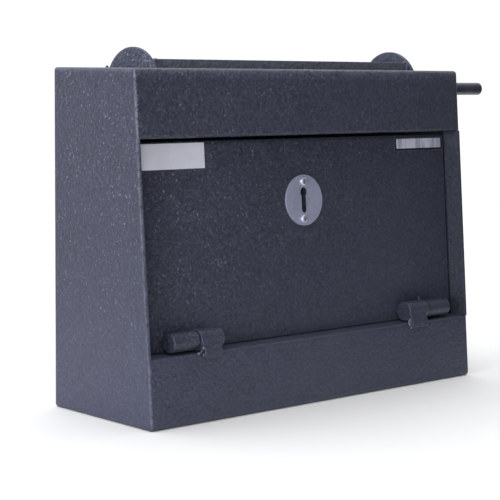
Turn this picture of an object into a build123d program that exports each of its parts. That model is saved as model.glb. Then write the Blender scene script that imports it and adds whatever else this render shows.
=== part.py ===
from build123d import *
import math
import os

# Small sheet-steel drop safe: sloped front, recessed bottom-hinged door,
# rotating hopper drum in the top with a straight handle rod on the right.
# Millimetres. +X right, +Y back, +Z up. Origin: centre of the base on the
# surface it stands on.

# ---------------------------------------------------------------- dimensions
W = 403.6            # body width
H = 300.0            # body height
D_BOT = 139.0        # depth at the bottom
D_TOP = 114.0        # depth at the top
T = 3.0              # shell plate
BEND = 4.0           # outside radius of the rear vertical bends
EDGE_R = 2.8         # rounding of the welded and ground outer edges
FOLD_R = 3.6         # outside radius of the folds along the front
RAW_R = 0.6          # rounding of the plate edges beside the door recess
RET = 15.0           # rear return flange of the side panels

Z_LEDGE = 59.5       # top of the ledge below the door
Z_FASCIA = 241.4     # lower edge of the fascia
RECESS = 19.1        # depth of the door recess, measured along Y

DOOR_T = 6.0         # door plate
DOOR_GAP = 1.2       # gap at each side of the door
DOOR_TOP_Z = 237.9   # top edge of the door at its outer face

AXIS_Z = 69.5        # door hinge axis height
BARREL_R = 9.4       # fixed hinge barrel
KNUCKLE_R = 8.7      # door hinge knuckle
PIN_R = 4.0
RUN = 0.05           # radial running clearance
STRAP_T = 2.6

LB = (-142.6, -116.0)    # left barrel, x from and to
LK = (-172.2, -143.3)    # left knuckle
RB = (120.0, 147.2)      # right barrel
RK = (147.9, 178.7)      # right knuckle

DRUM_Y = 8.5         # drum axis
DRUM_Z = 281.6
DRUM_R = 36.3
DISC_T = 4.0
DISC_OUT = 163.0     # outer face of each disc from the middle
TROUGH_T = 2.0
SHAFT_R = 6.35
ROD_END = 297.5      # free end of the handle rod
OPEN_X = 165.0       # half length of the opening in the top
OPEN_Y = 34.6        # half width of the opening in the top

KEY_X = 2.0          # keyhole and escutcheon centre
ESC_Z = 181.3
ESC_R = 23.4
ESC_T = 1.5
KEY_TOP_Z = 192.9
KEY_BOT_Z = 169.7
KEY_BULB_R = 4.5
KEY_SLOT_W = 6.8
SCREW_DZ = 17.0      # escutcheon screws above and below the centre
SCREW_DX = (-1.4, -0.5)   # lower and upper screw off the centre line
SCREW_HEAD_R = 3.9
SCREW_HEAD_H = 2.3

LOCK_W = 84.0
LOCK_D = 20.0
LOCK_U0 = 144.0
LOCK_U1 = 236.0
BOLT_W = 30.0
BOLT_T = 8.0
BOLT_THROW = 14.0

HOLE_X = 300.0       # wall fixing holes
HOLE_Z = 150.0
HOLE_Z0 = 60.0
HOLE_R = 6.0

os.makedirs("parts", exist_ok=True)

# ---------------------------------------------------------------- frame of the slope
SL = (D_BOT - D_TOP) / H
A = math.atan(SL)
CA, SA = math.cos(A), math.sin(A)
YF0 = -D_BOT / 2.0
YB = D_BOT / 2.0
# local x along +X, local y up the slope, local z out of the front face
FRONT = Plane(origin=(0, YF0, 0), x_dir=(1, 0, 0), z_dir=(0, -CA, SA))


def yf(z):
    return YF0 + SL * z


def uw(z, w):
    """distance up the slope of the point at height z and distance w from the front plane"""
    return (z - w * SA) / CA


def yz(u, w):
    return (YF0 + u * SA - w * CA, u * CA + w * SA)


W_FACE = -RECESS * CA            # door outer face
W_BACK = W_FACE - DOOR_T         # door inner face
W_AX = -BARREL_R                 # hinge axis
U_AX = uw(AXIS_Z, W_AX)
AX_Y, AX_Z = yz(U_AX, W_AX)
XI = W / 2 - T                   # inner face of the side panels

nodes = {}


def put(name, shape):
    shape.label = name
    nodes[name] = shape


def sbox(x0, x1, u0, u1, w0, w1):
    """box in the frame of the sloped front"""
    return FRONT * Pos((x0 + x1) / 2, (u0 + u1) / 2, (w0 + w1) / 2) * Box(
        abs(x1 - x0), abs(u1 - u0), abs(w1 - w0))


def xcyl(x0, x1, y, z, r):
    """cylinder along X"""
    return Pos((x0 + x1) / 2, y, z) * Rot(0, 90, 0) * Cylinder(r, x1 - x0)


def scyl(x, u, w0, w1, r):
    """cylinder square to the sloped front"""
    return FRONT * Pos(x, u, (w0 + w1) / 2) * Cylinder(r, abs(w1 - w0))


def rims(shape, w):
    """circular edges lying at distance w out of the front plane"""
    return [e for e in shape.edges() if e.geom_type == GeomType.CIRCLE
            and abs(FRONT.to_local_coords(e.arc_center).Z - w) < 0.01]


def offset_path(pts, t):
    """points of a folded sheet's other face, t to the left of the path"""
    out = []
    n = len(pts)
    dirs = []
    for i in range(n - 1):
        dx, dy = pts[i + 1][0] - pts[i][0], pts[i + 1][1] - pts[i][1]
        ln = math.hypot(dx, dy)
        dirs.append((dx / ln, dy / ln))
    for i in range(n):
        if i == 0:
            d = dirs[0]
            out.append((pts[0][0] - d[1] * t, pts[0][1] + d[0] * t))
        elif i == n - 1:
            d = dirs[-1]
            out.append((pts[-1][0] - d[1] * t, pts[-1][1] + d[0] * t))
        else:
            a, b = dirs[i - 1], dirs[i]
            na, nb = (-a[1], a[0]), (-b[1], b[0])
            k = t / (1 + na[0] * nb[0] + na[1] * nb[1])
            out.append((pts[i][0] + (na[0] + nb[0]) * k, pts[i][1] + (na[1] + nb[1]) * k))
    return out


def folded(pts, t, r_out, plane):
    """face of a folded sheet whose outer face follows pts, thickness to the left"""
    inner = offset_path(pts, t)
    loop = [Vector(p[0], p[1]) for p in pts] + [Vector(p[0], p[1]) for p in reversed(inner)]
    f = make_face(Polyline(*loop, close=True))
    for i in range(1, len(pts) - 1):
        for target in (pts[i], inner[i]):
            a = pts[i - 1]
            b = pts[i]
            c = pts[i + 1]
            turn = (b[0] - a[0]) * (c[1] - b[1]) - (b[1] - a[1]) * (c[0] - b[0])
            outer_is_path = turn > 0
            is_outer = (target is pts[i]) == outer_is_path
            r = r_out if is_outer else max(r_out - t, 0.4)
            vs = [v for v in f.vertices() if abs(v.X - target[0]) < 1e-4 and abs(v.Y - target[1]) < 1e-4]
            if vs:
                f = fillet(vs, r)
    return plane * f


# ---------------------------------------------------------------- side panels
# outer envelope of the body with its rounded edges
prof = make_face(Polyline(
    Vector(YF0, 0), Vector(YB, 0), Vector(YB, H), Vector(yf(H), H), close=True))
envelope = extrude(Plane.YZ * prof, W / 2, both=True)
first = [e for e in envelope.edges() if abs((e @ 0.5).Z - H / 2) < 1 and (e @ 0.5).Y > 0]
envelope = fillet(first, BEND)
# the same outline beside the recess, where the plate edges are only broken
raw = [e for e in envelope.edges() if abs((e @ 0.5).Z - H / 2) < 1 and (e @ 0.5).Y < 0]
envelope_mid = fillet(raw, RAW_R)
first = [e for e in envelope.edges() if abs((e @ 0.5).X) < 1 and (e @ 0.5).Y < 0]
envelope = fillet(first, FOLD_R)
rest = []
for e in envelope.edges():
    c = e @ 0.5
    on_side = abs(abs(c.X) - W / 2) < 0.01 and c.Y < YB - BEND - 0.5
    on_rear = min(abs(c.Z), abs(c.Z - H)) < 0.01 and c.Y > YB - BEND + 0.5
    if on_side or on_rear:
        rest.append(e)
envelope = fillet(rest, EDGE_R)


def side_panel(s):
    # side plate with a rear return flange
    path = [(-W / 2, YF0 - 20), (-W / 2, YB), (-W / 2 + RET, YB)]
    face = folded(list(reversed(path)), T, BEND, Plane.XY)
    body = extrude(face, H, dir=(0, 0, 1))
    if s > 0:
        body = mirror(body, about=Plane.YZ)
        body = body - xcyl(XI - 5, W / 2 + 5, DRUM_Y, DRUM_Z, 9.0)
    band = Pos(0, 0, (Z_LEDGE + Z_FASCIA) / 2) * Box(2 * W, 4 * D_BOT, Z_FASCIA - Z_LEDGE)
    ends = (body & envelope) - band
    return ends + ((body & envelope_mid) & band)


panel_l = side_panel(-1)
panel_r = side_panel(1)


def between_panels(shape):
    """the sheet trimmed to lie between the two side panels, as one solid"""
    cut = shape - panel_l - panel_r
    return max(cut.solids(), key=lambda s: s.volume)


put("side_panel_left", panel_l)
put("side_panel_right", panel_r)

# ---------------------------------------------------------------- back plate
bx = W / 2 - RET
back = Pos(0, YB - T / 2, H / 2) * Box(2 * bx, T, H)
for sx in (-1, 1):
    for z in (HOLE_Z0, HOLE_Z0 + HOLE_Z):
        back = back - Pos(sx * HOLE_X / 2, YB - T / 2, z) * Rot(90, 0, 0) * Cylinder(HOLE_R, 4 * T)
back = back & envelope
put("back_plate", back)

# ---------------------------------------------------------------- top hood
# top plate, fascia and recess ceiling; outer face is on the right of this path
ZC = Z_FASCIA
hood_path = [(-2.0, ZC), (yf(ZC), ZC), (yf(H), H), (YB - T, H)]
hood_face = folded(list(reversed(hood_path)), T, FOLD_R, Plane.YZ)
hood = extrude(hood_face, XI, both=True)
hood = hood - Pos(0, DRUM_Y, H) * Box(2 * OPEN_X, 2 * OPEN_Y, 4 * T)
# slot in the ceiling for the lock bolt
bolt_cy = yz(uw(ZC + T / 2, -35.0), -35.0)[0]
hood = hood - Pos(KEY_X, bolt_cy, ZC) * Box(BOLT_W + 4, BOLT_T + 4.5, 4 * T)
put("top_hood", between_panels(hood))

# ---------------------------------------------------------------- base tray
# bottom plate, front strip and ledge with a down-turned rear edge
L_BACK = -31.5
base_path = [(YB - T, 0.0), (YF0, 0.0), (yf(Z_LEDGE), Z_LEDGE), (L_BACK, Z_LEDGE), (L_BACK, Z_LEDGE - 14.0)]
base_face = folded(list(reversed(base_path)), T, FOLD_R, Plane.YZ)
base = extrude(base_face, XI, both=True)
put("base_tray", between_panels(base))

# ---------------------------------------------------------------- door stops and baffle
for nm, s in (("door_stop_left", -1), ("door_stop_right", 1)):
    x0, x1 = sorted((s * XI, s * (XI - 12.0)))
    put(nm, sbox(x0, x1, 84.0, 234.0, W_BACK - 0.4 - 6.0, W_BACK - 0.4))

p0 = Vector(YB - T, 275.0)
p1 = Vector(YB - T, 272.2)
p2 = Vector(39.4, 248.6)
p3 = Vector(38.0, 250.2)
baffle = extrude(Plane.YZ * make_face(Polyline(p0, p1, p2, p3, close=True)), XI, both=True)
# saw-tooth lower edge
teeth = 22
pitch = 2 * XI / teeth
for i in range(teeth):
    xc = -XI + pitch * (i + 0.5)
    tri = make_face(Polyline(Vector(xc - pitch * 0.36, 36.0), Vector(xc + pitch * 0.36, 36.0), Vector(xc, 46.0), close=True))
    baffle = baffle - extrude(Plane.XY.offset(235) * tri, 40)
put("rear_baffle", between_panels(baffle))

# ---------------------------------------------------------------- fixed half of the door hinges
def ends_round(c, x, r):
    """round the circular edge of a cylinder at x"""
    return fillet([e for e in c.edges() if e.geom_type == GeomType.CIRCLE and abs((e @ 0.5).X - x) < 0.01], r)


def barrel(xr, s):
    # closed at the end towards the middle of the safe, s tells which
    b = xcyl(xr[0], xr[1], AX_Y, AX_Z, BARREL_R)
    shut, mouth = (xr[1], xr[0]) if s < 0 else (xr[0], xr[1])
    b = ends_round(ends_round(b, shut, 1.5), mouth, 0.9)
    b0, b1 = sorted((mouth + s * 1.0, shut + s * 3.0))
    return b - xcyl(b0, b1, AX_Y, AX_Z, PIN_R)


def strap(x0, x1):
    # short gusset from the foot of the barrel over the ledge on to the front strip
    pr = make_face(Polyline(
        Vector(55.0, -1.0), Vector(55.0, STRAP_T), Vector(60.6, STRAP_T),
        Vector(69.2, -0.1), Vector(67.0, -4.0), Vector(62.7, -4.6),
        Vector(60.2, -4.2), Vector(58.0, -2.4), close=True))
    pr = fillet([v for v in pr.vertices() if abs(v.X - 55.0) < 0.01 and v.Y > 1], 1.2)
    pr = fillet([v for v in pr.vertices() if abs(v.X - 60.6) < 0.01], 9.0)
    # profile plane: local x up the slope, local y out of the front
    pl = Plane(origin=FRONT.from_local_coords(Vector(x0, 0, 0)), x_dir=(0, SA, CA), z_dir=(1, 0, 0))
    body = extrude(pl * pr, x1 - x0, dir=(1, 0, 0))
    body = body - xcyl(x0 - 5, x1 + 5, AX_Y, AX_Z, BARREL_R) - nodes["base_tray"]
    body = max(body.solids(), key=lambda q: q.volume)
    # round the long upper edges of both sides
    up = []
    for e in body.edges():
        c = FRONT.to_local_coords(e @ 0.5)
        if min(abs(c.X - x0), abs(c.X - x1)) < 0.01 and c.Z > 0.6 and e.length > 2.0 and 55.5 < c.Y < 68.0:
            up.append(e)
    try:
        body = fillet(up, 0.9)
    except Exception:
        print("strap edges left square")
    return body


put("hinge_barrel_left", barrel(LB, -1))
put("hinge_barrel_right", barrel(RB, 1))
put("hinge_strap_left", strap(-141.4, -121.8))
put("hinge_strap_right", strap(119.8, 141.5))
put("hinge_pin_left", xcyl(LK[0] + 6.0, LB[1] - 3.5, AX_Y, AX_Z, PIN_R))
put("hinge_pin_right", xcyl(RB[0] + 3.5, RK[1] - 6.0, AX_Y, AX_Z, PIN_R))

# ---------------------------------------------------------------- drum bearings
boss_x1 = -DISC_OUT - 2.0
boss = xcyl(-XI, boss_x1, DRUM_Y, DRUM_Z, 10.0) - xcyl(-XI - 1, boss_x1 + 1, DRUM_Y, DRUM_Z, SHAFT_R + RUN)
put("drum_bearing_left", boss)
bush = xcyl(XI - 2.5, XI, DRUM_Y, DRUM_Z, 12.0) + xcyl(XI - 1, W / 2, DRUM_Y, DRUM_Z, 9.0)
bush = bush - xcyl(XI - 5, W / 2 + 5, DRUM_Y, DRUM_Z, SHAFT_R + RUN)
put("handle_bush", bush)

# ---------------------------------------------------------------- hopper drum
def disc(s):
    x0, x1 = sorted((s * DISC_OUT, s * (DISC_OUT - DISC_T)))
    d = xcyl(x0, x1, DRUM_Y, DRUM_Z, DRUM_R)
    d = fillet([e for e in d.edges() if e.geom_type == GeomType.CIRCLE], 0.9)
    return d - xcyl(x0 - 1, x1 + 1, DRUM_Y, DRUM_Z, SHAFT_R)


put("drum_disc_left", disc(-1))
put("drum_disc_right", disc(1))

XD = DISC_OUT - DISC_T
tr_half = 25.0
tr_top = DRUM_Z + 26.1
tr_bot = DRUM_Z - 24.6
tr_path = [(DRUM_Y - tr_half, tr_top), (DRUM_Y - tr_half, tr_bot), (DRUM_Y + tr_half, tr_bot), (DRUM_Y + tr_half, tr_top)]
trough = extrude(folded(tr_path, TROUGH_T, 4.0, Plane.YZ), XD, both=True)
tops = [e for e in trough.edges() if abs((e @ 0.5).Z - tr_top) < 0.01 and e.length > 100]
trough = fillet(tops, 0.6)
put("drum_trough", trough)

axle = xcyl(-XI + 1.5, -XD, DRUM_Y, DRUM_Z, SHAFT_R)
put("drum_axle_left", axle)
rod = xcyl(XD, ROD_END, DRUM_Y, DRUM_Z, SHAFT_R)
rod = chamfer([e for e in rod.edges() if e.geom_type == GeomType.CIRCLE and (e @ 0.5).X > ROD_END - 0.1], 1.0)
put("handle_rod", rod)
washer = xcyl(-DISC_OUT - 1.6, -DISC_OUT, DRUM_Y, DRUM_Z, 11.5) - xcyl(-DISC_OUT - 3, -DISC_OUT + 1, DRUM_Y, DRUM_Z, SHAFT_R)
put("thrust_washer", washer)
COL0, COL1 = 184.0, XI - 2.7
collar = xcyl(COL0, COL1, DRUM_Y, DRUM_Z, 10.5) - xcyl(COL0 - 1, COL1 + 1, DRUM_Y, DRUM_Z, SHAFT_R)
sx = (COL0 + COL1) / 2
collar = collar - Pos(sx, DRUM_Y, DRUM_Z - 8) * Cylinder(2.5, 16)
put("drum_collar", collar)
screw = Pos(sx, DRUM_Y, DRUM_Z - 8.5) * Cylinder(2.5, 3.8)
screw = screw - Pos(sx, DRUM_Y, DRUM_Z - 10.0) * extrude(RegularPolygon(1.25, 6), 2, both=True)
put("collar_set_screw", screw)

# ---------------------------------------------------------------- door
XDR = XI - DOOR_GAP
U_TOP = uw(DOOR_TOP_Z, W_FACE)
U_BOT = 62.0
door = sbox(-XDR, XDR, U_BOT, U_TOP, W_BACK, W_FACE)
door = fillet([e for e in door.edges() if abs((e @ 0.5).X) < 1 and e.length > 100], 0.8)

key_u_top = uw(KEY_TOP_Z, W_FACE)
key_u_bot = uw(KEY_BOT_Z, W_FACE)
u_bulb = key_u_top - KEY_BULB_R
u_low = key_u_bot + KEY_SLOT_W / 2
esc_u = uw(ESC_Z, W_FACE)


def keyhole(w0, w1, grow=0.0):
    k = scyl(KEY_X, u_bulb, w0, w1, KEY_BULB_R + grow)
    k = k + sbox(KEY_X - KEY_SLOT_W / 2 - grow, KEY_X + KEY_SLOT_W / 2 + grow, u_low, u_bulb, w0, w1)
    k = k + scyl(KEY_X, u_low, w0, w1, KEY_SLOT_W / 2 + grow)
    return k


door = door - keyhole(W_BACK - 2, W_FACE + 2, 0.5)
esc_screw_u = (esc_u - SCREW_DZ, esc_u + SCREW_DZ)
for dx, u in zip(SCREW_DX, esc_screw_u):
    door = door - scyl(KEY_X + dx, u, W_FACE - 4.0, W_FACE + 1, 1.5)

lock_cx = KEY_X + 4.0
lx0, lx1 = lock_cx - LOCK_W / 2, lock_cx + LOCK_W / 2
fix_pts = [(lx0 + 6, LOCK_U0 + 6), (lx1 - 6, LOCK_U0 + 6), (lx0 + 6, LOCK_U1 - 8), (lx1 - 6, LOCK_U1 - 8)]
for x, u in fix_pts:
    door = door - scyl(x, u, W_BACK - 1, W_BACK + 4.0, 2.5)
put("door_panel", door)


def knuckle(xr, blind_end):
    k = xcyl(xr[0], xr[1], AX_Y, AX_Z, KNUCKLE_R)
    k = ends_round(ends_round(k, xr[0], 1.5 if blind_end < 0 else 0.9), xr[1], 0.9 if blind_end < 0 else 1.5)
    pad = sbox(xr[0] + 2.0, xr[1] - 2.0, U_AX - 5.0, U_AX + 5.0, W_FACE, W_AX - 3.0)
    k = k + pad
    if blind_end < 0:
        k = k - xcyl(xr[0] + 5.0, xr[1] + 1, AX_Y, AX_Z, PIN_R + RUN)
    else:
        k = k - xcyl(xr[0] - 1, xr[1] - 5.0, AX_Y, AX_Z, PIN_R + RUN)
    return k


put("hinge_knuckle_left", knuckle(LK, -1))
put("hinge_knuckle_right", knuckle(RK, 1))

# ---------------------------------------------------------------- escutcheon and labels
esc = scyl(KEY_X, esc_u, W_FACE, W_FACE + ESC_T, ESC_R)
esc = chamfer(rims(esc, W_FACE + ESC_T), 0.4)
esc = esc - keyhole(W_FACE - 2, W_FACE + ESC_T + 2)
for dx, u in zip(SCREW_DX, esc_screw_u):
    esc = esc - scyl(KEY_X + dx, u, W_FACE - 1, W_FACE + ESC_T + 1, 1.5)
put("keyhole_escutcheon", esc)

screws = []
for i, u in enumerate(esc_screw_u):
    x = KEY_X + SCREW_DX[i]
    top = W_FACE + ESC_T + SCREW_HEAD_H
    shank = scyl(x, u, W_FACE - 4.0, W_FACE + ESC_T, 1.5)
    head = scyl(x, u, W_FACE + ESC_T, top, SCREW_HEAD_R)
    head = fillet(rims(head, top), 2.0)
    slot = FRONT * Pos(x, u, top) * Rot(0, 0, 75 if i else 60) * Box(9, 1.1, 2.0)
    screws.append((shank + head) - slot)
put("escutcheon_screws", Compound(children=screws))

NP_X1 = -114.5
np_u0, np_u1 = uw(214.3, W_FACE), uw(236.3, W_FACE)
name_plate = sbox(NP_X1 - 80.0, NP_X1, np_u0, np_u1, W_FACE, W_FACE + 0.5)
put("name_plate_blank", name_plate)
lb_u0, lb_u1 = uw(222.0, W_FACE), uw(235.3, W_FACE)
put("label_backing", sbox(126.8, 196.6, lb_u0, lb_u1, W_FACE, W_FACE + 0.3))
ls_u0, ls_u1 = uw(224.7, W_FACE), uw(234.0, W_FACE)
put("label_strip", sbox(129.7, 193.5, ls_u0, ls_u1, W_FACE + 0.3, W_FACE + 0.5))

# ---------------------------------------------------------------- lever lock
LW1 = W_BACK                 # front of the case, on the door
LW0 = W_BACK - LOCK_D        # its open rear edge
case = sbox(lx0, lx1, LOCK_U0, LOCK_U1, LW0, LW1)
case = case - sbox(lx0 + 2, lx1 - 2, LOCK_U0 + 2, LOCK_U1 - 2, LW0 - 1, LW1 - 2)
case = case - keyhole(LW1 - 3, LW1 + 1, 0.5)
for x, u in fix_pts:
    case = case + scyl(x, u, LW0 + 0.0, LW1 - 1.0, 4.5)
    case = case & sbox(lx0, lx1, LOCK_U0, LOCK_U1, LW0, LW1)
for x, u in fix_pts:
    case = case - scyl(x, u, LW0 - 1, LW1 + 1, 2.55)
# slot for the bolt in the top wall
bw0, bw1 = -39.0, -39.0 + BOLT_T
case = case - sbox(KEY_X - BOLT_W / 2 - 0.3, KEY_X + BOLT_W / 2 + 0.3, LOCK_U1 - 4, LOCK_U1 + 1, bw0 - 0.3, bw1 + 0.3)
put("lock_case", case)

cap = sbox(lx0, lx1, LOCK_U0, LOCK_U1, LW0 - 2.0, LW0)
for x, u in fix_pts:
    cap = cap - scyl(x, u, LW0 - 3, LW0 + 1, 2.55)
put("lock_cap", cap)

fixings = []
for x, u in fix_pts:
    f = scyl(x, u, LW0 - 2.0, W_BACK + 4.0, 2.5)
    h = scyl(x, u, LW0 - 5.0, LW0 - 2.0, 4.5)
    f = f + h
    f = f - FRONT * Pos(x, u, LW0 - 5.0) * Box(12, 1.2, 2.4)
    fixings.append(f)
put("lock_fixing_screws", Compound(children=fixings))

# bolt: thick head through the case's top wall, thin tail in front of the levers
BU1 = 237.5
bolt = sbox(KEY_X - BOLT_W / 2, KEY_X + BOLT_W / 2, 212.0, BU1, bw0, bw1)
bolt = fillet([e for e in bolt.edges() if abs(FRONT.to_local_coords(e @ 0.5).Y - BU1) < 0.05 and e.length > 20], 1.0)
tail = sbox(KEY_X - 8, KEY_X + 30, 160.0, 213.0, bw1 - 2.5, bw1)
tail = tail - scyl(KEY_X, u_bulb, bw1 - 4, bw1 + 1, 16.0)
stump = sbox(KEY_X + 24.0, KEY_X + 28.0, 181.0, 185.0, bw1 - 9.4, bw1 - 2.0)
put("lock_bolt", bolt + tail + stump)

# lever pivot post, and five levers with a gate slot for the bolt's stump
PV_X, PV_U = KEY_X + 37.0, 160.2
pivot = scyl(PV_X, PV_U, LW0, LW1 - 2.0, 2.5)
put("lever_pivot", pivot)
levers = []
springs = []
for i in range(5):
    w1 = bw1 - 2.9 - i * 1.25
    w0 = w1 - 1.1
    lev = sbox(KEY_X + 15.0, KEY_X + 42.0, 166.0, 205.0, w0, w1)
    lev = lev + sbox(PV_X - 5.0, PV_X + 5.0, 158.0, 167.0, w0, w1) + scyl(PV_X, PV_U, w0, w1, 5.0)
    lev = lev - sbox(KEY_X + 23.4, KEY_X + 28.6, 179.0, 201.0, w0 - 1, w1 + 1)
    lev = lev - scyl(KEY_X, u_bulb, w0 - 1, w1 + 1, 17.0)
    lev = lev - scyl(PV_X, PV_U, w0 - 1, w1 + 1, 2.5)
    levers.append(lev)
    springs.append(sbox(KEY_X + 33.0, KEY_X + 33.5, 205.0, 234.0, w0 + 0.15, w1 - 0.15))
put("lock_levers", Compound(children=levers))
put("lever_springs", Compound(children=springs))

# ---------------------------------------------------------------- write
for name, shape in nodes.items():
    export_step(shape, "parts/%s.step" % name)
print("axis y %.3f z %.3f  slide axis 0 %.5f %.5f" % (AX_Y, AX_Z, SA, CA))
print("face w %.3f back %.3f  u_ax %.3f u_top %.3f" % (W_FACE, W_BACK, U_AX, U_TOP))
print(len(nodes), "nodes")
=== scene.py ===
import bpy
import bmesh
import math
import numpy as np
from mathutils import Matrix, Vector, noise


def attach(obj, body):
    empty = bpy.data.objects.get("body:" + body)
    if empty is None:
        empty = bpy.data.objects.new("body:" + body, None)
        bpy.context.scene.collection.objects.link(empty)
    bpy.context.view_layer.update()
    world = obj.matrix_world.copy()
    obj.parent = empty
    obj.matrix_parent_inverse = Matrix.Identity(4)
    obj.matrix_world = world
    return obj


# Small sheet-steel drop safe in dark blue-grey hammered paint.
# Metres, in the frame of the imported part: +X right, +Y back, +Z up.

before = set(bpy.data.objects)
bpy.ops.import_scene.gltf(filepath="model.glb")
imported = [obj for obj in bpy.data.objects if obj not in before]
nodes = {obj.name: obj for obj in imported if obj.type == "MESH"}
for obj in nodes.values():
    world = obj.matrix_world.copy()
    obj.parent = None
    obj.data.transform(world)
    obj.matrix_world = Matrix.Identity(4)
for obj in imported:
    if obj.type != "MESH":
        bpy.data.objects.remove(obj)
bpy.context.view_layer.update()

# ---------------------------------------------------------------- frame of the sloped front
SLOPE = math.atan(25.0 / 300.0)
CA, SA = math.cos(SLOPE), math.sin(SLOPE)
W_FACE = -0.019034          # door outer face, measured out of the front plane
U_AX = 0.070524             # hinge axis, distance up the slope
W_AX = -0.0094


def on_front(x, u, w):
    """point at x, u up the slope, w out of the sloped front"""
    return Vector((x, -0.0695 + u * SA - w * CA, u * CA + w * SA))


# ---------------------------------------------------------------- node trees
def lin(r, g, b):
    """linear colour of a 0-255 display colour"""
    def f(v):
        v = v / 255.0
        return v / 12.92 if v <= 0.04045 else ((v + 0.055) / 1.055) ** 2.4
    return (f(r), f(g), f(b), 1.0)


class Tree:
    """a material's node tree with a Principled shader"""

    def __init__(self, name):
        self.mat = bpy.data.materials.new(name)
        self.mat.use_nodes = True
        self.t = self.mat.node_tree
        self.t.nodes.clear()
        self.out = self.t.nodes.new("ShaderNodeOutputMaterial")
        self.b = self.t.nodes.new("ShaderNodeBsdfPrincipled")
        self.t.links.new(self.b.outputs[0], self.out.inputs[0])
        self.pos = self.t.nodes.new("ShaderNodeTexCoord").outputs["Object"]

    def set(self, **values):
        for k, v in values.items():
            self.b.inputs[k.replace("_", " ")].default_value = v

    def link(self, a, b):
        self.t.links.new(a, b)

    def scaled(self, sx, sy, sz, rot=(0, 0, 0)):
        m = self.t.nodes.new("ShaderNodeMapping")
        m.inputs["Scale"].default_value = (sx, sy, sz)
        m.inputs["Rotation"].default_value = rot
        self.link(self.pos, m.inputs["Vector"])
        return m.outputs[0]

    def noise(self, scale, detail=2.0, rough=0.5, distort=0.0, vec=None):
        n = self.t.nodes.new("ShaderNodeTexNoise")
        n.inputs["Scale"].default_value = scale
        n.inputs["Detail"].default_value = detail
        n.inputs["Roughness"].default_value = rough
        n.inputs["Distortion"].default_value = distort
        self.link(vec if vec is not None else self.pos, n.inputs["Vector"])
        return n.outputs["Fac"]

    def cells(self, scale, feature="F1", smooth=None, vec=None, rand=1.0):
        n = self.t.nodes.new("ShaderNodeTexVoronoi")
        n.feature = "SMOOTH_F1" if smooth is not None else feature
        if smooth is not None:
            n.inputs["Smoothness"].default_value = smooth
        n.inputs["Scale"].default_value = scale
        n.inputs["Randomness"].default_value = rand
        self.link(vec if vec is not None else self.pos, n.inputs["Vector"])
        return n

    def math(self, op, a, b=None, c=None, clamp=False):
        n = self.t.nodes.new("ShaderNodeMath")
        n.operation = op
        n.use_clamp = clamp
        for i, v in enumerate((a, b, c)):
            if v is None:
                continue
            if isinstance(v, (int, float)):
                n.inputs[i].default_value = v
            else:
                self.link(v, n.inputs[i])
        return n.outputs[0]

    def range(self, v, a, b, c=0.0, d=1.0, kind="SMOOTHSTEP"):
        n = self.t.nodes.new("ShaderNodeMapRange")
        n.interpolation_type = kind
        for k, x in (("From Min", a), ("From Max", b), ("To Min", c), ("To Max", d)):
            n.inputs[k].default_value = x
        self.link(v, n.inputs["Value"])
        return n.outputs["Result"]

    def mix(self, fac, a, b, blend="MIX"):
        n = self.t.nodes.new("ShaderNodeMix")
        n.data_type = "RGBA"
        n.blend_type = blend
        n.clamp_factor = True
        for key, v in (("Factor_Float", fac), ("A_Color", a), ("B_Color", b)):
            s = next(i for i in n.inputs if i.identifier == key)
            if isinstance(v, (int, float, tuple)):
                s.default_value = v
            else:
                self.link(v, s)
        return next(o for o in n.outputs if o.identifier == "Result_Color")

    def bump(self, height, strength, distance, under=None):
        n = self.t.nodes.new("ShaderNodeBump")
        n.inputs["Strength"].default_value = strength
        n.inputs["Distance"].default_value = distance
        self.link(height, n.inputs["Height"])
        if under is not None:
            self.link(under, n.inputs["Normal"])
        return n.outputs[0]

    def split(self, vec=None):
        n = self.t.nodes.new("ShaderNodeSeparateXYZ")
        self.link(vec if vec is not None else self.pos, n.inputs[0])
        return n.outputs


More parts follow.
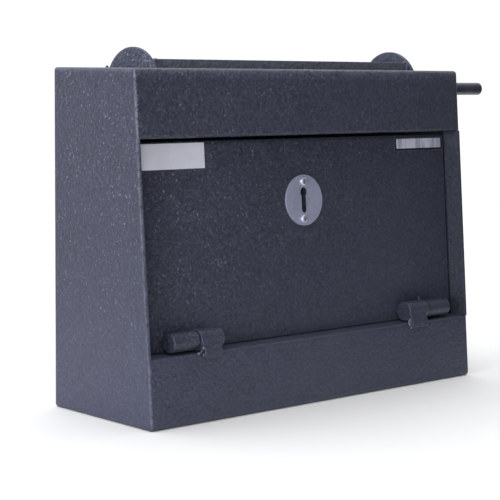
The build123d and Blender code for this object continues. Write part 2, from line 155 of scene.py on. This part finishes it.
# ---------------------------------------------------------------- materials
def hammered(name, dark, light, glint_and_rub_colour, rough=0.42, side_glint=1.0, relief=1.0, scuff=0.0, edge_highlight=0.0, peel=0.55, front=1.0, zones=()):
    """thick textured stove enamel: pebbled relief, mottled tone and dark pits, coarser towards the upper left of the
    safe;
    small pale dots painted as glints and paler patches painted as highlights on the pebbles, both stronger there"""
    t = Tree(name)
    x, y, z = t.split()
    # towards the upper left, where the light falls: more painted glint and highlight, stronger mottle and relief
    where = t.math("MULTIPLY_ADD", z, 1.67, t.math("MULTIPLY", x, -1.25))
    where = t.range(where, 0.0, 0.62, 0.25, 1.0)
    big = t.noise(7.0, 3.0, 0.55)
    mid = t.noise(70.0, 3.0, 0.6, 0.3)
    fine = t.noise(330.0, 3.0, 0.58)
    grain = t.noise(1100.0, 2.0, 0.6)
    tone = t.math("MULTIPLY_ADD", fine, 0.92, t.math("MULTIPLY_ADD", mid, 0.16, t.math("MULTIPLY", big, 0.18)))
    tone = t.range(tone, 0.44, 0.82, -0.5, 0.5, "LINEAR")
    # the left side panel is the smoother one, most of all low down
    calm = t.math("MULTIPLY", t.range(x, -0.2004, -0.2016), t.range(z, 0.02, 0.28, 0.36, 0.16, "LINEAR"))
    calm = t.math("MULTIPLY_ADD", calm, -1.0, 1.0)
    even = t.math("MULTIPLY", calm, t.range(x, -0.2016, -0.2004, 1.0, front))
    tone = t.math("MULTIPLY_ADD", tone, t.math("MULTIPLY", even, t.math("MULTIPLY_ADD", where, 0.55, 0.36)), 0.5)
    col = t.mix(tone, dark, light)
    # pits where the coat is thin
    pit = t.range(t.noise(520.0, 3.0, 0.7, 0.5), 0.43, 0.30)
    col = t.mix(t.math("MULTIPLY", pit, 0.6), col, tuple(c * 0.5 for c in dark[:3]) + (1.0,))
    # painted glints as small pale dots: ragged ones from a fine noise, and a few round ones
    drift = t.range(t.noise(34.0, 3.0, 0.6), 0.34, 0.62, 0.4, 1.0)
    s1 = t.range(t.noise(420.0, 3.0, 0.66, 0.6), 0.59, 0.71)
    v = t.cells(280.0)
    s2 = t.math("MULTIPLY", t.range(v.outputs["Distance"], 0.38, 0.12),
                t.math("POWER", t.split(v.outputs["Color"])[0], 6.0))
    s2 = t.math("MULTIPLY", s2, t.range(grain, 0.34, 0.56, 0.35, 1.0))
    # painted highlight: soft pebbles of the orange peel, painted as paler patches
    s3 = t.cells(420.0, smooth=0.35)
    pebble_highlight = t.math("MULTIPLY", t.range(s3.outputs["Distance"], 0.42, 0.10), t.split(s3.outputs["Color"])[1])
    pebble_highlight = t.math("MULTIPLY", t.math("MULTIPLY", pebble_highlight, t.range(where, 0.2, 0.9, 0.25, 1.0)), peel, clamp=True)
    col = t.mix(pebble_highlight, col, light)
    glint_specks = t.math("MAXIMUM", t.math("MULTIPLY", s1, 0.75), s2)
    # painted glints: strongest on the left side panel, higher up and towards the left
    side = t.range(x, -0.2004, -0.2016, side_glint, 0.9)
    side = t.math("MULTIPLY", side, t.range(z, 0.01, 0.22, 0.45, 1.0))
    side = t.math("MULTIPLY", side, t.range(x, -0.15, 0.03, 1.0, 0.7))
    glint_specks = t.math("MULTIPLY", glint_specks, t.math("MULTIPLY", t.math("MULTIPLY", drift, where), side), clamp=True)
    col = t.mix(glint_specks, col, glint_and_rub_colour)
    # distance out of the sloped front
    out = t.math("MULTIPLY_ADD", z, SA, t.math("MULTIPLY", t.math("ADD", y, 0.0695), -CA))
    if edge_highlight > 0:
        # paler along the left front edge and along the top: partly rubbed coat, partly painted highlight, stronger
        # higher up
        side = t.range(t.math("ABSOLUTE", t.math("ADD", x, 0.2014)), 0.0024, 0.0006)
        near = t.range(t.math("ABSOLUTE", out), 0.0026, 0.0008)
        ragged = t.range(t.noise(230.0, 3.0, 0.7), 0.36, 0.60, 0.15, 1.0)
        high = t.range(z, 0.05, 0.27, 0.35, 1.0)
        line = t.math("MULTIPLY", t.math("MULTIPLY", side, near), t.math("MULTIPLY", ragged, high))
        top = t.range(z, 0.2945, 0.2990)
        line = t.math("MAXIMUM", line, t.math("MULTIPLY", top, t.range(mid, 0.3, 0.6, 0.25, 0.5)))
        col = t.mix(t.math("MULTIPLY", line, edge_highlight), col, glint_and_rub_colour)
    if scuff > 0:
        # fine crossed rub marks
        a = t.noise(900.0, 2.0, 0.7, 0.4, t.scaled(1.0, 0.06, 0.8, (0.5, 0, 0)))
        b = t.noise(700.0, 2.0, 0.7, 0.4, t.scaled(1.0, 0.9, 0.05, (-0.35, 0, 0)))
        worn = t.range(t.noise(26.0, 3.0, 0.6), 0.46, 0.60)
        rub = t.math("MULTIPLY", t.math("MAXIMUM", t.range(a, 0.58, 0.70), t.range(b, 0.60, 0.72)), worn)
        col = t.mix(t.math("MULTIPLY", rub, scuff), col, glint_and_rub_colour)
    # colours laid over the paint where all the ramps are up: slow tints of the coat, and painted shade and painted
    # highlight
    at = {"x": x, "z": z, "out": out}
    for ramps, over in zones:
        m = 1.0
        for key, a, b in ramps:
            m = t.math("MULTIPLY", t.range(at[key], a, b), m)
        col = t.mix(m, col, over + (1.0,), "MULTIPLY")
    t.link(col, t.b.inputs["Base Color"])
    r = t.math("MULTIPLY_ADD", mid, 0.18, rough - 0.09)
    t.link(t.math("MULTIPLY_ADD", glint_specks, -0.12, r), t.b.inputs["Roughness"])
    pebble = t.cells(300.0, smooth=0.6)
    h = t.math("MULTIPLY_ADD", pebble.outputs["Distance"], -0.8, t.math("MULTIPLY", fine, 1.5))
    h = t.math("ADD", h, t.math("MULTIPLY", glint_specks, 0.6))
    h = t.math("MULTIPLY", h, t.math("MULTIPLY", t.math("POWER", calm, 2.5), t.math("MULTIPLY_ADD", where, 0.7, 0.4)))
    n = t.bump(mid, 0.18 * relief, 0.0012)
    n = t.bump(h, 0.70 * relief, 0.0009, n)
    n = t.bump(grain, 0.20 * relief, 0.0003, n)
    t.link(n, t.b.inputs["Normal"])
    t.set(Metallic=0.0, IOR=1.5, Specular_Tint=(0.80, 0.83, 1.0, 1.0))
    return t.mat


def metal(name, tint, tint2, rough, grain=(1, 1, 1), scale=600.0, relief=0.05, metallic=1.0, stain=None, rim_shade=None):
    """worked bare metal: directional grain, cloudy tone"""
    t = Tree(name)
    g = t.noise(scale, 4.0, 0.65, 0.0, t.scaled(*grain))
    cloud = t.noise(45.0, 3.0, 0.6)
    f = t.math("MULTIPLY_ADD", g, 0.6, t.math("MULTIPLY", cloud, 0.4))
    col = t.mix(t.range(f, 0.3, 0.7), tint, tint2)
    if stain:
        s = t.range(t.noise(160.0, 4.0, 0.7), 0.56, 0.74)
        col = t.mix(t.math("MULTIPLY", s, 0.6), col, stain)
    if rim_shade:
        # painted shade on the edge of the round plate
        cx, cz, r0, r1, tone = rim_shade
        x, y, z = t.split()
        dx = t.math("SUBTRACT", x, cx)
        dz = t.math("MULTIPLY", t.math("SUBTRACT", z, cz), 1.0 / CA)
        r = t.math("SQRT", t.math("MULTIPLY_ADD", dx, dx, t.math("MULTIPLY", dz, dz)))
        col = t.mix(t.range(r, r0, r1), col, tone)
    t.link(col, t.b.inputs["Base Color"])
    r = t.math("MULTIPLY_ADD", g, 0.18, rough - 0.09)
    r = t.math("MULTIPLY_ADD", cloud, 0.08, r)
    t.link(r, t.b.inputs["Roughness"])
    t.link(t.bump(g, relief, 0.0002), t.b.inputs["Normal"])
    t.set(Metallic=metallic)
    return t.mat


def rod_enamel(name):
    """smooth near-black enamel on a round rod, thin scuffs round it"""
    t = Tree(name)
    cloud = t.noise(60.0, 3.0, 0.6)
    ring = t.noise(260.0, 3.0, 0.6, 0.2, t.scaled(1.0, 0.25, 0.25))
    col = t.mix(t.range(cloud, 0.3, 0.7), lin(46, 50, 62), lin(64, 69, 83))
    scuff = t.math("MULTIPLY", t.range(ring, 0.62, 0.72), t.range(cloud, 0.5, 0.62))
    col = t.mix(t.math("MULTIPLY", scuff, 0.5), col, lin(96, 98, 108))
    t.link(col, t.b.inputs["Base Color"])
    t.link(t.math("MULTIPLY_ADD", ring, 0.16, 0.25), t.b.inputs["Roughness"])
    t.link(t.bump(t.noise(500.0, 3.0), 0.08, 0.0003), t.b.inputs["Normal"])
    t.set(Metallic=0.0)
    return t.mat


def foil(name, tint, tint2, rough, relief=0.12, metallic=0.7, bands=0.0):
    """thin metallised label film with a fine pressed grain"""
    t = Tree(name)
    g = t.noise(1500.0, 3.0, 0.6, 0.0, t.scaled(0.35, 1.0, 1.0))
    cloud = t.noise(60.0, 3.0, 0.55)
    col = t.mix(t.range(t.math("MULTIPLY_ADD", g, 0.35, t.math("MULTIPLY", cloud, 0.65)), 0.3, 0.7), tint, tint2)
    if bands > 0:
        # upright wrinkles in the film
        w = t.range(t.noise(150.0, 2.0, 0.6, 0.2, t.scaled(1.0, 0.1, 0.12)), 0.44, 0.60)
        col = t.mix(t.math("MULTIPLY", w, bands), tint, tint2)
    t.link(col, t.b.inputs["Base Color"])
    t.link(t.math("MULTIPLY_ADD", cloud, 0.14, rough - 0.07), t.b.inputs["Roughness"])
    n = t.bump(t.noise(110.0, 2.0), relief, 0.0006)
    t.link(t.bump(g, 0.06, 0.0002, n), t.b.inputs["Normal"])
    t.set(Metallic=metallic)
    return t.mat


def black_film(name):
    t = Tree(name)
    g = t.noise(900.0, 3.0, 0.6)
    cloud = t.noise(120.0, 3.0, 0.6)
    col = t.mix(t.range(cloud, 0.3, 0.7), lin(12, 12, 20), lin(24, 25, 34))
    # pale cut edge of the film all round
    x, y, z = t.split()
    ex = t.range(t.math("ABSOLUTE", t.math("SUBTRACT", x, 0.1617)), 0.0338, 0.0344)
    ez = t.range(t.math("ABSOLUTE", t.math("SUBTRACT", z, 0.22865)), 0.0056, 0.0061)
    col = t.mix(t.math("MULTIPLY", t.math("MAXIMUM", ex, ez), t.range(cloud, 0.3, 0.6, 0.5, 0.9)), col, lin(88, 91, 104))
    t.link(col, t.b.inputs["Base Color"])
    t.link(t.math("MULTIPLY_ADD", g, 0.2, 0.40), t.b.inputs["Roughness"])
    t.link(t.bump(cloud, 0.1, 0.0005), t.b.inputs["Normal"])
    return t.mat


M = {}
M["body"] = hammered("paint_body", lin(37, 39, 52), lin(73, 76, 97), lin(172, 176, 190), side_glint=0.50, edge_highlight=0.32, front=0.80, zones=[
    ([("x", -0.2016, -0.2004)], (1.025, 1.035, 0.975)),
    ([("x", -0.2004, -0.2016)], (1.0, 1.0, 1.015)),
    # painted shade: the left side panel darkened above its lowest part, leaving it lighter low down
    ([("x", -0.2004, -0.2016), ("z", 0.04, 0.16)], (0.765, 0.775, 0.80)),
    # painted highlight: a paler band under the top fold of the fascia
    ([("z", 0.2890, 0.2945), ("z", 0.2983, 0.2954), ("out", -0.0040, -0.0010), ("x", -0.2016, -0.2004)], (1.38, 1.37, 1.34)),
    # painted shade: darker at the lower right
    ([("x", -0.02, 0.15), ("z", 0.10, 0.068)], (0.80, 0.80, 0.82)),
    # painted light: the ledge under the door made paler
    ([("out", -0.0005, -0.0030), ("z", 0.064, 0.062), ("z", 0.040, 0.046), ("x", -0.1986, -0.1980), ("x", 0.1986, 0.1980),
      ("out", -0.030, -0.026)], (1.42, 1.44, 1.36)),
    # right wall of the recess, greyer, with painted shade in the corner along the door
    ([("x", 0.1975, 0.1983), ("z", 0.050, 0.070)], (1.10, 1.08, 0.94)),
    ([("x", 0.1975, 0.1983), ("out", -0.0170, -0.0192), ("out", -0.0270, -0.0240)], (0.35, 0.35, 0.38))])
M["door"] = hammered("paint_door", lin(36, 38, 50), lin(72, 75, 94), lin(166, 170, 186), side_glint=0.9, relief=0.9, zones=[
    ([("x", -1.0, -0.9)], (1.0, 1.0, 0.955)),
    # painted shade: darker at the lower right
    ([("x", 0.10, 0.15), ("z", 0.11, 0.08)], (0.80, 0.80, 0.83)),
    # painted shadow along the top, close under the fascia
    ([("z", 0.2325, 0.2372)], (0.66, 0.66, 0.67)),
    # painted shade where each knuckle meets its barrel
    ([("x", 0.1502, 0.1490), ("x", 0.1470, 0.1476), ("out", -0.0186, -0.0180)], (0.55, 0.55, 0.57)),
    ([("x", -0.1456, -0.1444), ("x", -0.1424, -0.1430), ("out", -0.0186, -0.0180)], (0.70, 0.70, 0.72)),
    # painted shadow along the left edge, where the recess wall shades the door
    ([("x", -0.145, -0.197)], (0.56, 0.56, 0.59))])
M["drum"] = hammered("paint_drum", lin(47, 50, 66), lin(76, 80, 102), lin(165, 169, 188), scuff=0.62)
# the trough's enamel is paler than the body's; part of that is painted light from above
M["trough"] = hammered("paint_trough", lin(81, 84, 97), lin(104, 107, 121), lin(160, 164, 182), side_glint=0.5, scuff=0.3)
# paler copy of the enamel for the weld lumps: painted highlight where they catch the light
M["weld"] = hammered("paint_weld_highlight", lin(78, 81, 96), lin(108, 111, 128), lin(165, 168, 184), rough=0.34)
M["rod"] = rod_enamel("rod_enamel")
# the last argument paints shade on the escutcheon's edge
M["satin"] = metal("satin_plate", lin(168, 171, 199), lin(190, 193, 220), 0.46, (1, 1, 1), 420.0, 0.05, 0.6, None,
                   (0.002, 0.18142, 0.02300, 0.02335, lin(112, 115, 134)))
M["screw"] = metal("screw_nickel", lin(208, 209, 228), lin(230, 231, 246), 0.28, (1, 1, 1), 500.0, 0.03, 0.85)
M["steel"] = metal("steel_turned", lin(120, 121, 124), lin(160, 161, 163), 0.34, (0.3, 1, 1), 900.0, 0.08, 1.0, lin(92, 84, 76))
M["plate_steel"] = metal("steel_zinc", lin(140, 144, 150), lin(176, 180, 186), 0.38, (1, 1, 1), 260.0, 0.08, 1.0)
M["brass"] = metal("brass_plate", lin(176, 142, 74), lin(206, 172, 100), 0.32, (1, 1, 0.3), 700.0, 0.06, 1.0, lin(110, 84, 46))
M["spring"] = metal("spring_strip", lin(104, 108, 118), lin(138, 142, 152), 0.28, (1, 1, 0.3), 800.0, 0.04, 1.0)
M["foil"] = foil("plate_film", lin(221, 221, 235), lin(232, 232, 245), 0.45, 0.12, 0.1)
M["strip"] = foil("strip_film", lin(180, 181, 206), lin(234, 236, 250), 0.36, 0.3, 0.2, 0.8)
M["black"] = black_film("black_film")

FINISH = {
    "body": ["side_panel_left", "side_panel_right", "back_plate", "top_hood", "base_tray",
             "door_stop_left", "door_stop_right", "rear_baffle", "hinge_barrel_left",
             "hinge_barrel_right", "hinge_strap_left", "hinge_strap_right"],
    "door": ["door_panel", "hinge_knuckle_left", "hinge_knuckle_right"],
    "drum": ["drum_disc_left", "drum_disc_right"],
    "trough": ["drum_trough"],
    "rod": ["handle_rod"],
    "satin": ["keyhole_escutcheon"],
    "screw": ["escutcheon_screws"],
    "steel": ["hinge_pin_left", "hinge_pin_right", "drum_bearing_left", "drum_axle_left", "thrust_washer", "drum_collar",
              "collar_set_screw", "lock_fixing_screws", "lever_pivot"],
    "plate_steel": ["lock_case", "lock_cap"],
    "brass": ["lock_bolt", "lock_levers", "handle_bush"],
    "spring": ["lever_springs"],
    "foil": ["name_plate_blank"],
    "strip": ["label_strip"],
    "black": ["label_backing"],
}
for key, names in FINISH.items():
    for nm in names:
        o = nodes[nm]
        o.data.materials.clear()
        o.data.materials.append(M[key])
        for p in o.data.polygons:
            p.material_index = 0
left_out = sorted(set(nodes) - {n for v in FINISH.values() for n in v})
if left_out:
    raise RuntimeError("no finish for %s" % left_out)


# ---------------------------------------------------------------- mesh helpers
def make(name, verts, faces, body, mat, smooth=True):
    me = bpy.data.meshes.new(name)
    me.from_pydata([tuple(v) for v in verts], [], faces)
    me.validate()
    me.update()
    bm = bmesh.new()
    bm.from_mesh(me)
    bmesh.ops.recalc_face_normals(bm, faces=bm.faces)
    bm.to_mesh(me)
    bm.free()
    if smooth:
        for p in me.polygons:
            p.use_smooth = True
    me.materials.append(mat)
    o = bpy.data.objects.new(name, me)
    bpy.context.scene.collection.objects.link(o)
    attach(o, body)
    return o


def smooth_path(pts, step):
    """points every step along a Catmull-Rom line through pts"""
    P = [np.array(p, float) for p in pts]
    P = [2 * P[0] - P[1]] + P + [2 * P[-1] - P[-2]]
    out = []
    for i in range(1, len(P) - 2):
        a, b, c, d = P[i - 1], P[i], P[i + 1], P[i + 2]
        n = max(2, int(np.linalg.norm(c - b) / step))
        for k in range(n):
            s = k / n
            out.append(0.5 * ((2 * b) + (c - a) * s + (2 * a - 5 * b + 4 * c - d) * s * s
                              + (3 * b - a - 3 * c + d) * s ** 3))
    out.append(P[-2])
    return out


def weld_bead(name, pts, radius, seed, body, mat, pitch=0.0019, squash=(1.0, 1.0)):
    """run of weld metal along pts: overlapping ripples, uneven width, rounded ends"""
    line = smooth_path(pts, 0.00030)
    n = len(line)
    length = [0.0]
    for i in range(1, n):
        length.append(length[-1] + float(np.linalg.norm(line[i] - line[i - 1])))
    total = length[-1]
    ring = 16
    verts, faces = [], []
    up = None
    for i, c in enumerate(line):
        d = line[min(i + 1, n - 1)] - line[max(i - 1, 0)]
        d = d / np.linalg.norm(d)
        if up is None:
            up = np.array((0.0, -CA, SA))
            if abs(d @ up) > 0.9:
                up = np.array((1.0, 0.0, 0.0))
        side = np.cross(d, up)
        side /= np.linalg.norm(side)
        up = np.cross(side, d)
        s = length[i]
        phase = (s / pitch + 0.25 * noise.noise(Vector((s * 300, seed, 0)))) % 1.0
        ripple = 0.86 + 0.14 * math.sqrt(max(0.0, 1 - (2 * phase - 1) ** 2))
        wander = 1 + 0.16 * noise.noise(Vector((s * 420, seed * 3.1, 1.7)))
        e = min(s, total - s) / (radius * 0.9)
        cap = math.sqrt(max(0.0, 1 - (1 - min(1.0, e)) ** 2))
        r = radius * ripple * wander * max(0.06, cap)
        for k in range(ring):
            a = 2 * math.pi * k / ring
            lump = 1 + 0.07 * noise.noise(Vector((s * 900, math.cos(a) * 1.3 + seed, math.sin(a) * 1.3)))
            verts.append(Vector(c) + Vector(side) * (math.cos(a) * r * lump * squash[0])
                         + Vector(up) * (math.sin(a) * r * lump * squash[1]))
    for i in range(n - 1):
        for k in range(ring):
            k2 = (k + 1) % ring
            faces.append((i * ring + k, i * ring + k2, (i + 1) * ring + k2, (i + 1) * ring + k))
    faces.append(tuple(range(ring)))
    faces.append(tuple(range((n - 1) * ring, n * ring)))
    return make(name, verts, faces, body, mat)


def nib(name, centre, normal, radius, height, seed, body, mat):
    """small lump of weld metal or paint standing on a face"""
    z = Vector(normal).normalized()
    x = z.orthogonal().normalized()
    y = z.cross(x)
    ring, rows = 20, 9
    verts, faces = [], []
    for j in range(rows):
        a = -0.35 + (math.pi / 2 + 0.35) * j / rows
        for k in range(ring):
            b = 2 * math.pi * k / ring
            d = Vector((math.cos(b) * math.cos(a), math.sin(b) * math.cos(a), math.sin(a)))
            f = 1 + 0.14 * noise.noise(d * 1.7 + Vector((seed, 0, 0)))
            verts.append(Vector(centre) + (x * d.x + y * d.y) * radius * f + z * d.z * height * f)
    verts.append(Vector(centre) + z * height)
    for j in range(rows - 1):
        for k in range(ring):
            k2 = (k + 1) % ring
            faces.append((j * ring + k, j * ring + k2, (j + 1) * ring + k2, (j + 1) * ring + k))
    for k in range(ring):
        faces.append(((rows - 1) * ring + k, (rows - 1) * ring + (k + 1) % ring, rows * ring))
    faces.append(tuple(reversed(range(ring))))
    return make(name, verts, faces, body, mat)


# ---------------------------------------------------------------- weld runs on the hinges and the drum
weld_bead("weld_hinge_left", [on_front(-0.1408, 0.0668, -0.0002), on_front(-0.1420, 0.0642, 0.0006),
                              on_front(-0.1438, 0.0616, 0.0006), on_front(-0.1462, 0.0597, -0.0002)],
          0.0012, 3.0, "body", M["body"])
nib("weld_hinge_left_upper", on_front(-0.1422, 0.0640, 0.0006), (-0.35, -1.0, 0.15), 0.0013, 0.0017, 4.0, "body", M["weld"])
nib("weld_hinge_left_drop", on_front(-0.1466, 0.0594, -0.0006), (-0.3, -1.0, 0.35), 0.0014, 0.0018, 5.0, "body", M["weld"])
weld_bead("weld_hinge_left_foot", [on_front(-0.1416, 0.0602, 0.0), on_front(-0.1416, 0.0578, 0.0), on_front(-0.1412, 0.0556, 0.0)],
          0.0015, 6.0, "body", M["body"])
weld_bead("weld_hinge_left_side", [on_front(-0.1216, 0.0602, 0.0), on_front(-0.1216, 0.0578, 0.0), on_front(-0.1219, 0.0554, 0.0)],
          0.0012, 7.0, "body", M["body"])
weld_bead("weld_hinge_right", [on_front(0.1186, 0.0642, 0.0002), on_front(0.1170, 0.0620, 0.0006),
                               on_front(0.1164, 0.0595, 0.0004), on_front(0.1178, 0.0572, 0.0004)],
          0.0012, 11.0, "body", M["weld"])
weld_bead("weld_hinge_right_foot", [on_front(0.1193, 0.0640, -0.0006), on_front(0.1190, 0.0610, 0.0004),
                                    on_front(0.1191, 0.0580, 0.0002), on_front(0.1196, 0.0556, 0.0)],
          0.0018, 12.0, "body", M["body"])
nib("weld_hinge_right_drop", on_front(0.1194, 0.0552, -0.0002), (0.0, -1.0, 0.1), 0.0012, 0.0015, 13.0, "body", M["weld"])
weld_bead("weld_hinge_right_side", [on_front(0.1417, 0.0602, 0.0), on_front(0.1416, 0.0578, 0.0), on_front(0.1413, 0.0554, 0.0)],
          0.0011, 17.0, "body", M["body"])
for side, sx in (("left", -1), ("right", 1)):
    x = sx * 0.1586
    weld_bead("weld_drum_%s_front" % side, [(x, -0.0166, 0.268), (x, -0.0167, 0.288), (x, -0.0165, 0.3050), (x, -0.0159, 0.3068)],
              0.0017, 19.0 + sx, "drum", M["trough"])
    weld_bead("weld_drum_%s_rear" % side, [(x, 0.0336, 0.268), (x, 0.0337, 0.288), (x, 0.0335, 0.3050), (x, 0.0329, 0.3068)],
              0.0017, 29.0 + sx, "drum", M["trough"])
weld_bead("weld_drum_left_tack", [(-0.1588, -0.0160, 0.3058), (-0.1560, -0.0158, 0.3068), (-0.1525, -0.0157, 0.3062)],
          0.0014, 37.0, "drum", M["weld"])
weld_bead("weld_drum_right_tack", [(0.1588, -0.0160, 0.3062), (0.1568, -0.0158, 0.3074), (0.1540, -0.0157, 0.3068)],
          0.0014, 39.0, "drum", M["trough"])
nib("weld_nib_top", (-0.1638, 0.0415, 0.2998), (0, 0, 1), 0.0015, 0.0022, 41.0, "body", M["body"])
nib("weld_nib_knuckle", on_front(0.1507, 0.0762, -0.0172), (0, 0.083, 1), 0.0026, 0.0068, 43.0, "door", M["door"])


# painted shade: a dark bead laid in each screw slot
for nm, x, u, turn, seed in (("lower", 0.0006, 0.16651, 60.0, 51.0), ("upper", 0.0015, 0.20051, 75.0, 53.0)):
    dx, du = 0.0026 * math.cos(math.radians(turn)), 0.0026 * math.sin(math.radians(turn))
    weld_bead("screw_slot_shade_%s" % nm, [on_front(x - dx, u - du, -0.01610), on_front(x, u, -0.01604), on_front(x + dx, u + du, -0.01610)],
              0.00050, seed, "door", M["black"], 0.0011)

# ---------------------------------------------------------------- floor
def floor():
    # a pale table top, its front edge running back towards the right
    x0, x1, y1 = -0.98, 1.9, 2.6
    nx, ny = 30, 34
    verts = []
    for j in range(ny + 1):
        for i in range(nx + 1):
            x = x0 + (x1 - x0) * i / nx
            front = -0.47 + (x + 0.2) * (0.27 if x < -0.2 else 0.42)
            verts.append((x, front + (y1 - front) * j / ny, 0.0))
    faces = [(j * (nx + 1) + i, j * (nx + 1) + i + 1, (j + 1) * (nx + 1) + i + 1, (j + 1) * (nx + 1) + i)
             for j in range(ny) for i in range(nx)]
    me = bpy.data.meshes.new("floor")
    me.from_pydata(verts, [], faces)
    me.update()
    o = bpy.data.objects.new("floor", me)
    bpy.context.scene.collection.objects.link(o)
    o.location = (0, 0, -0.0002)
    t = Tree("floor_paper")
    c = t.mix(t.range(t.noise(3.0, 3.0), 0.3, 0.7), (0.92, 0.92, 0.93, 1), (0.94, 0.94, 0.94, 1))
    t.link(c, t.b.inputs["Base Color"])
    t.set(Roughness=0.85)
    t.link(t.bump(t.noise(60.0, 3.0), 0.02, 0.001), t.b.inputs["Normal"])
    me.materials.append(t.mat)
    return o


floor()

# ---------------------------------------------------------------- light
# a white studio behind and to the left, dim in front and to the right
scene = bpy.context.scene
world = bpy.data.worlds.new("studio")
world.use_nodes = True
scene.world = world
wt = world.node_tree
wt.nodes.clear()
wo = wt.nodes.new("ShaderNodeOutputWorld")
bg = wt.nodes.new("ShaderNodeBackground")
tc = wt.nodes.new("ShaderNodeTexCoord")


def sky_dot(axis, a, b, c, d):
    dot = wt.nodes.new("ShaderNodeVectorMath")
    dot.operation = "DOT_PRODUCT"
    dot.inputs[1].default_value = Vector(axis).normalized()
    wt.links.new(tc.outputs["Generated"], dot.inputs[0])
    mr = wt.nodes.new("ShaderNodeMapRange")
    mr.interpolation_type = "SMOOTHSTEP"
    for key, v in (("From Min", a), ("From Max", b), ("To Min", c), ("To Max", d)):
        mr.inputs[key].default_value = v
    wt.links.new(dot.outputs["Value"], mr.inputs["Value"])
    return mr.outputs["Result"]


add = wt.nodes.new("ShaderNodeMath")
add.operation = "ADD"
wt.links.new(sky_dot((-0.22, 0.94, 0.16), -0.78, 0.48, 0.095, 1.05), add.inputs[0])
wt.links.new(sky_dot((-0.1, 0.1, 1.0), 0.50, 0.95, 0.0, 0.9), add.inputs[1])
low = wt.nodes.new("ShaderNodeMath")
low.operation = "SUBTRACT"
wt.links.new(add.outputs[0], low.inputs[0])
wt.links.new(sky_dot((-0.78, -0.30, -0.50), 0.45, 0.90, 0.0, 0.85), low.inputs[1])
top = wt.nodes.new("ShaderNodeMath")
top.operation = "MAXIMUM"
top.inputs[1].default_value = 0.03
wt.links.new(low.outputs[0], top.inputs[0])
wt.links.new(top.outputs[0], bg.inputs["Strength"])
bg.inputs["Color"].default_value = (0.985, 0.99, 1.0, 1)
wt.links.new(bg.outputs[0], wo.inputs[0])


def area(name, loc, target, sx, sy, power, color=(1, 1, 1)):
    d = bpy.data.lights.new(name, "AREA")
    d.shape = "RECTANGLE"
    d.size, d.size_y = sx, sy
    d.energy = power
    d.color = color
    o = bpy.data.objects.new(name, d)
    scene.collection.objects.link(o)
    o.location = loc
    o.rotation_mode = "QUATERNION"
    o.rotation_quaternion = (Vector(target) - Vector(loc)).to_track_quat("-Z", "Y")
    return o


area("graze_left", (-1.95, -0.66, 0.28), (0.0, -0.06, 0.15), 0.30, 0.40, 11.0, (1.0, 1.0, 1.0))
area("fill_left", (-1.7, -1.9, 0.75), (-0.1, -0.05, 0.16), 1.0, 1.0, 17.0, (1.0, 1.0, 1.0))
area("edge_left", (-1.30, -1.28, 0.26), (-0.2, -0.1, 0.20), 0.16, 0.30, 2.6, (1.0, 1.0, 1.0))

# ---------------------------------------------------------------- camera
cam_data = bpy.data.cameras.new("camera")
cam_data.lens = 116.315
cam_data.sensor_width = 36.0
cam_data.clip_start, cam_data.clip_end = 0.02, 60.0
cam = bpy.data.objects.new("camera", cam_data)
scene.collection.objects.link(cam)
yaw, pitch, roll = math.radians(-42.217), math.radians(6.349), math.radians(0.547)
back = Vector((math.sin(yaw) * math.cos(pitch), -math.cos(yaw) * math.cos(pitch), math.sin(pitch)))
fwd = -back
right = fwd.cross(Vector((0, 0, 1))).normalized()
upv = right.cross(fwd)
r2 = right * math.cos(roll) + upv * math.sin(roll)
u2 = -right * math.sin(roll) + upv * math.cos(roll)
rot = Matrix((r2, u2, back)).transposed()
cam.matrix_world = Matrix.Translation((-1.023678, -1.094062, 0.29876)) @ rot.to_4x4()
scene.camera = cam

scene.view_settings.view_transform = "Standard"
scene.view_settings.look = "None"
scene.view_settings.exposure = 0.0
scene.view_settings.gamma = 1.0
